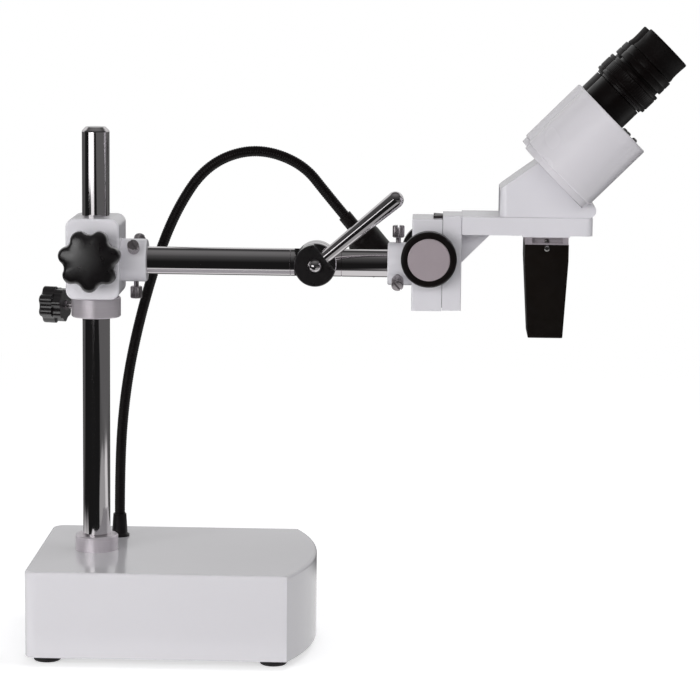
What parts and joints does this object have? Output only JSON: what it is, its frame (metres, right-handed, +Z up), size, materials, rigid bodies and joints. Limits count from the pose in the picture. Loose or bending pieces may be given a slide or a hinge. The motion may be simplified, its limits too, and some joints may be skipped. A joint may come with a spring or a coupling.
{
  "type": "stereo microscope",
  "caption": "Binocular stereo microscope head on a jointed chrome boom, held to a round column on a weighted base, with a rack focus block, clamp knobs and a gooseneck lamp.",
  "frame": {"origin": "on the table, under the middle of the whole instrument's box", "axes": "+X along the boom from the column to the eyepieces, +Y away from the large clamp knob's side, +Z up"},
  "size_m": [0.5124, 0.18, 0.4999],
  "materials": {
    "base_paint": "gloss",
    "plate_steel": "satin",
    "foot_rubber": "matte",
    "zinc_screws": "satin",
    "turned_aluminium": "polished",
    "circuit_board": "matte",
    "fittings_black": "matte",
    "button_black": "gloss",
    "lamp_socket_black": "satin",
    "chrome_bar": "polished",
    "knob_gloss": "gloss",
    "screw_nickel": "polished",
    "cast_enamel": "gloss",
    "drum_enamel": "gloss",
    "rack_brass": "satin",
    "pinion_steel": "satin",
    "focus_knob_black": "satin",
    "knob_cap_satin": "satin",
    "objective_grey": "satin",
    "objective_black": "satin",
    "coated_glass": "gloss",
    "eyepiece_black": "satin",
    "eyecup_rubber": "matte",
    "gooseneck_black": "satin",
    "shade_black": "satin",
    "lamp_lens": "gloss"
  },
  "bodies": {
    "base": {"base_shell": "base_paint", "base_plate": "plate_steel", "rubber_feet": "foot_rubber", "base_screws": "zinc_screws", "foot_ring": "turned_aluminium", "driver_board": "circuit_board", "power_inlet": "fittings_black", "switch_housing": "fittings_black", "gooseneck_socket": "lamp_socket_black"},
    "power_button": {"power_button": "button_black"},
    "column": {"column": "chrome_bar"},
    "stop_collar": {"stop_collar": "turned_aluminium"},
    "collar_knob": {"collar_knob": "knob_gloss", "collar_screw": "screw_nickel"},
    "carriage": {"carriage_block": "cast_enamel"},
    "carriage_knob": {"carriage_knob": "knob_gloss"},
    "boom_screw_bottom": {"boom_screw_bottom": "screw_nickel"},
    "boom_screw_left": {"boom_screw_left": "screw_nickel"},
    "boom_screw_right": {"boom_screw_right": "screw_nickel"},
    "inner_boom": {"inner_boom": "chrome_bar", "inner_knuckle": "chrome_bar"},
    "outer_boom": {"outer_boom": "chrome_bar", "outer_knuckle": "chrome_bar", "knuckle_bolt": "chrome_bar"},
    "lever": {"lever_hub": "knob_gloss", "lever_rod": "chrome_bar"},
    "focus_unit": {"focus_block": "cast_enamel", "pinion_bushings": "rack_brass"},
    "head_screw_top": {"head_screw_top": "screw_nickel"},
    "head_screw_left": {"head_screw_left": "screw_nickel"},
    "head_screw_right": {"head_screw_right": "screw_nickel"},
    "focus_slide": {"slide_block": "cast_enamel", "rack_slide": "rack_brass", "head_bracket": "cast_enamel", "objective_mount": "objective_grey", "objective_housing": "objective_black", "objective_screws": "zinc_screws", "objective_lenses": "coated_glass", "prism_body": "cast_enamel", "drum_carrier": "drum_enamel"},
    "focus_pinion": {"pinion_shaft": "pinion_steel", "focus_knobs": "focus_knob_black", "knob_caps": "knob_cap_satin"},
    "left_drum": {"left_drum": "drum_enamel", "left_eye_tube": "eyepiece_black", "left_prisms": "coated_glass"},
    "right_drum": {"right_drum": "drum_enamel", "right_eye_tube": "eyepiece_black", "right_prisms": "coated_glass"},
    "left_diopter_ring": {"left_diopter_ring": "eyepiece_black"},
    "right_diopter_ring": {"right_diopter_ring": "eyepiece_black"},
    "left_eyepiece": {"left_eyepiece": "eyepiece_black", "left_eyecup": "eyecup_rubber", "left_eye_lens": "coated_glass"},
    "right_eyepiece": {"right_eyepiece": "eyepiece_black", "right_eyecup": "eyecup_rubber", "right_eye_lens": "coated_glass"},
    "lamp": {"gooseneck": "gooseneck_black", "lamp_shade": "shade_black", "lamp_led": "lamp_lens"}
  },
  "joints": [
    {"name": "power_press", "type": "slide", "parent": "base", "child": "power_button", "axis": [1, 0, 0], "range_m": [0, 0.0015], "stiffness_N_per_m": 500, "springref_m": -0.0012},
    {"name": "arm_turn", "type": "hinge", "parent": "base", "child": "column", "pos_m": [-0.2068, 0, 0.245], "axis": [0, 0, 1], "range_deg": [-120, 0]},
    {"name": "height", "type": "slide", "parent": "column", "child": "stop_collar", "axis": [0, 0, 1], "range_m": [-0.17, 0.065]},
    {"name": "collar_knob_turn", "type": "hinge", "parent": "stop_collar", "child": "collar_knob", "pos_m": [-0.2068, 0, 0.27325], "axis": [-0.9659, 0.2588, 0], "range_deg": [0, 360]},
    {"name": "arm_swivel", "type": "hinge", "parent": "stop_collar", "child": "carriage", "pos_m": [-0.2068, 0, 0.3138], "axis": [0, 0, 1], "range_deg": [-30, 0]},
    {"name": "carriage_knob_turn", "type": "hinge", "parent": "carriage", "child": "carriage_knob", "pos_m": [-0.2068, -0.0368, 0.3148], "axis": [0, -1, 0], "range_deg": [0, 360]},
    {"name": "boom_screw_bottom_turn", "type": "hinge", "parent": "carriage", "child": "boom_screw_bottom", "pos_m": [-0.1745, 0, 0.311], "axis": [0, 0, -1], "range_deg": [0, 360]},
    {"name": "boom_screw_left_turn", "type": "hinge", "parent": "carriage", "child": "boom_screw_left", "pos_m": [-0.1745, 0, 0.311], "axis": [0, -0.866, 0.5], "range_deg": [0, 360]},
    {"name": "boom_screw_right_turn", "type": "hinge", "parent": "carriage", "child": "boom_screw_right", "pos_m": [-0.1745, 0, 0.311], "axis": [0, 0.866, 0.5], "range_deg": [0, 360]},
    {"name": "boom_roll", "type": "hinge", "parent": "carriage", "child": "inner_boom", "pos_m": [-0.1798, 0, 0.311], "axis": [1, 0, 0], "range_deg": [-15, 15]},
    {"name": "boom_tilt", "type": "hinge", "parent": "inner_boom", "child": "outer_boom", "pos_m": [-0.0306, 0, 0.311], "axis": [0, 1, 0], "range_deg": [-40, 30]},
    {"name": "lever_turn", "type": "hinge", "parent": "outer_boom", "child": "lever", "pos_m": [-0.0306, -0.0187, 0.311], "axis": [0, 1, 0], "range_deg": [-60, 6]},
    {"name": "head_roll", "type": "hinge", "parent": "outer_boom", "child": "focus_unit", "pos_m": [0.0352, 0, 0.311], "axis": [1, 0, 0], "range_deg": [-20, 20]},
    {"name": "head_screw_top_turn", "type": "hinge", "parent": "focus_unit", "child": "head_screw_top", "pos_m": [0.0347, 0, 0.311], "axis": [0, 0, 1], "range_deg": [0, 360]},
    {"name": "head_screw_left_turn", "type": "hinge", "parent": "focus_unit", "child": "head_screw_left", "pos_m": [0.0347, 0, 0.311], "axis": [0, -0.866, -0.5], "range_deg": [0, 360]},
    {"name": "head_screw_right_turn", "type": "hinge", "parent": "focus_unit", "child": "head_screw_right", "pos_m": [0.0347, 0, 0.311], "axis": [0, 0.866, -0.5], "range_deg": [0, 360]},
    {"name": "focus_travel", "type": "slide", "parent": "focus_unit", "child": "focus_slide", "axis": [0, 0, 1], "range_m": [-0.02, 0.02]},
    {"name": "focus_knob_turn", "type": "hinge", "parent": "focus_unit", "child": "focus_pinion", "pos_m": [0.0592, 0, 0.3184], "axis": [0, 1, 0], "range_deg": [-240, 240]},
    {"name": "left_drum_turn", "type": "hinge", "parent": "focus_slide", "child": "left_drum", "pos_m": [0.1594, -0.0355, 0.3875], "axis": [0.7071, 0, 0.7071], "range_deg": [-25, 25]},
    {"name": "right_drum_turn", "type": "hinge", "parent": "focus_slide", "child": "right_drum", "pos_m": [0.1594, 0.0355, 0.3875], "axis": [0.7071, 0, 0.7071], "range_deg": [-25, 25]},
    {"name": "left_diopter_turn", "type": "hinge", "parent": "left_drum", "child": "left_diopter_ring", "pos_m": [0.19369, -0.032, 0.43735], "axis": [0.7071, 0, 0.7071], "range_deg": [-90, 90]},
    {"name": "left_eyepiece_travel", "type": "slide", "parent": "left_drum", "child": "left_eyepiece", "axis": [0.7071, 0, 0.7071], "range_m": [-0.0025, 0.0025]},
    {"name": "right_diopter_turn", "type": "hinge", "parent": "right_drum", "child": "right_diopter_ring", "pos_m": [0.19369, 0.032, 0.43735], "axis": [0.7071, 0, 0.7071], "range_deg": [-90, 90]},
    {"name": "right_eyepiece_travel", "type": "slide", "parent": "right_drum", "child": "right_eyepiece", "axis": [0.7071, 0, 0.7071], "range_m": [-0.0025, 0.0025]},
    {"name": "lamp_swing", "type": "hinge", "parent": "base", "child": "lamp", "pos_m": [-0.1938, 0.05, 0.086], "axis": [0, 0, 1], "range_deg": [0, 60]}
  ],
  "couplings": [
    {"joint": "focus_knob_turn", "follows": "focus_travel", "rad_per_m": -208.33},
    {"joint": "right_drum_turn", "follows": "left_drum_turn", "ratio": -1},
    {"joint": "left_diopter_turn", "follows": "left_eyepiece_travel", "rad_per_m": 628.3},
    {"joint": "right_diopter_turn", "follows": "right_eyepiece_travel", "rad_per_m": 628.3}
  ]
}
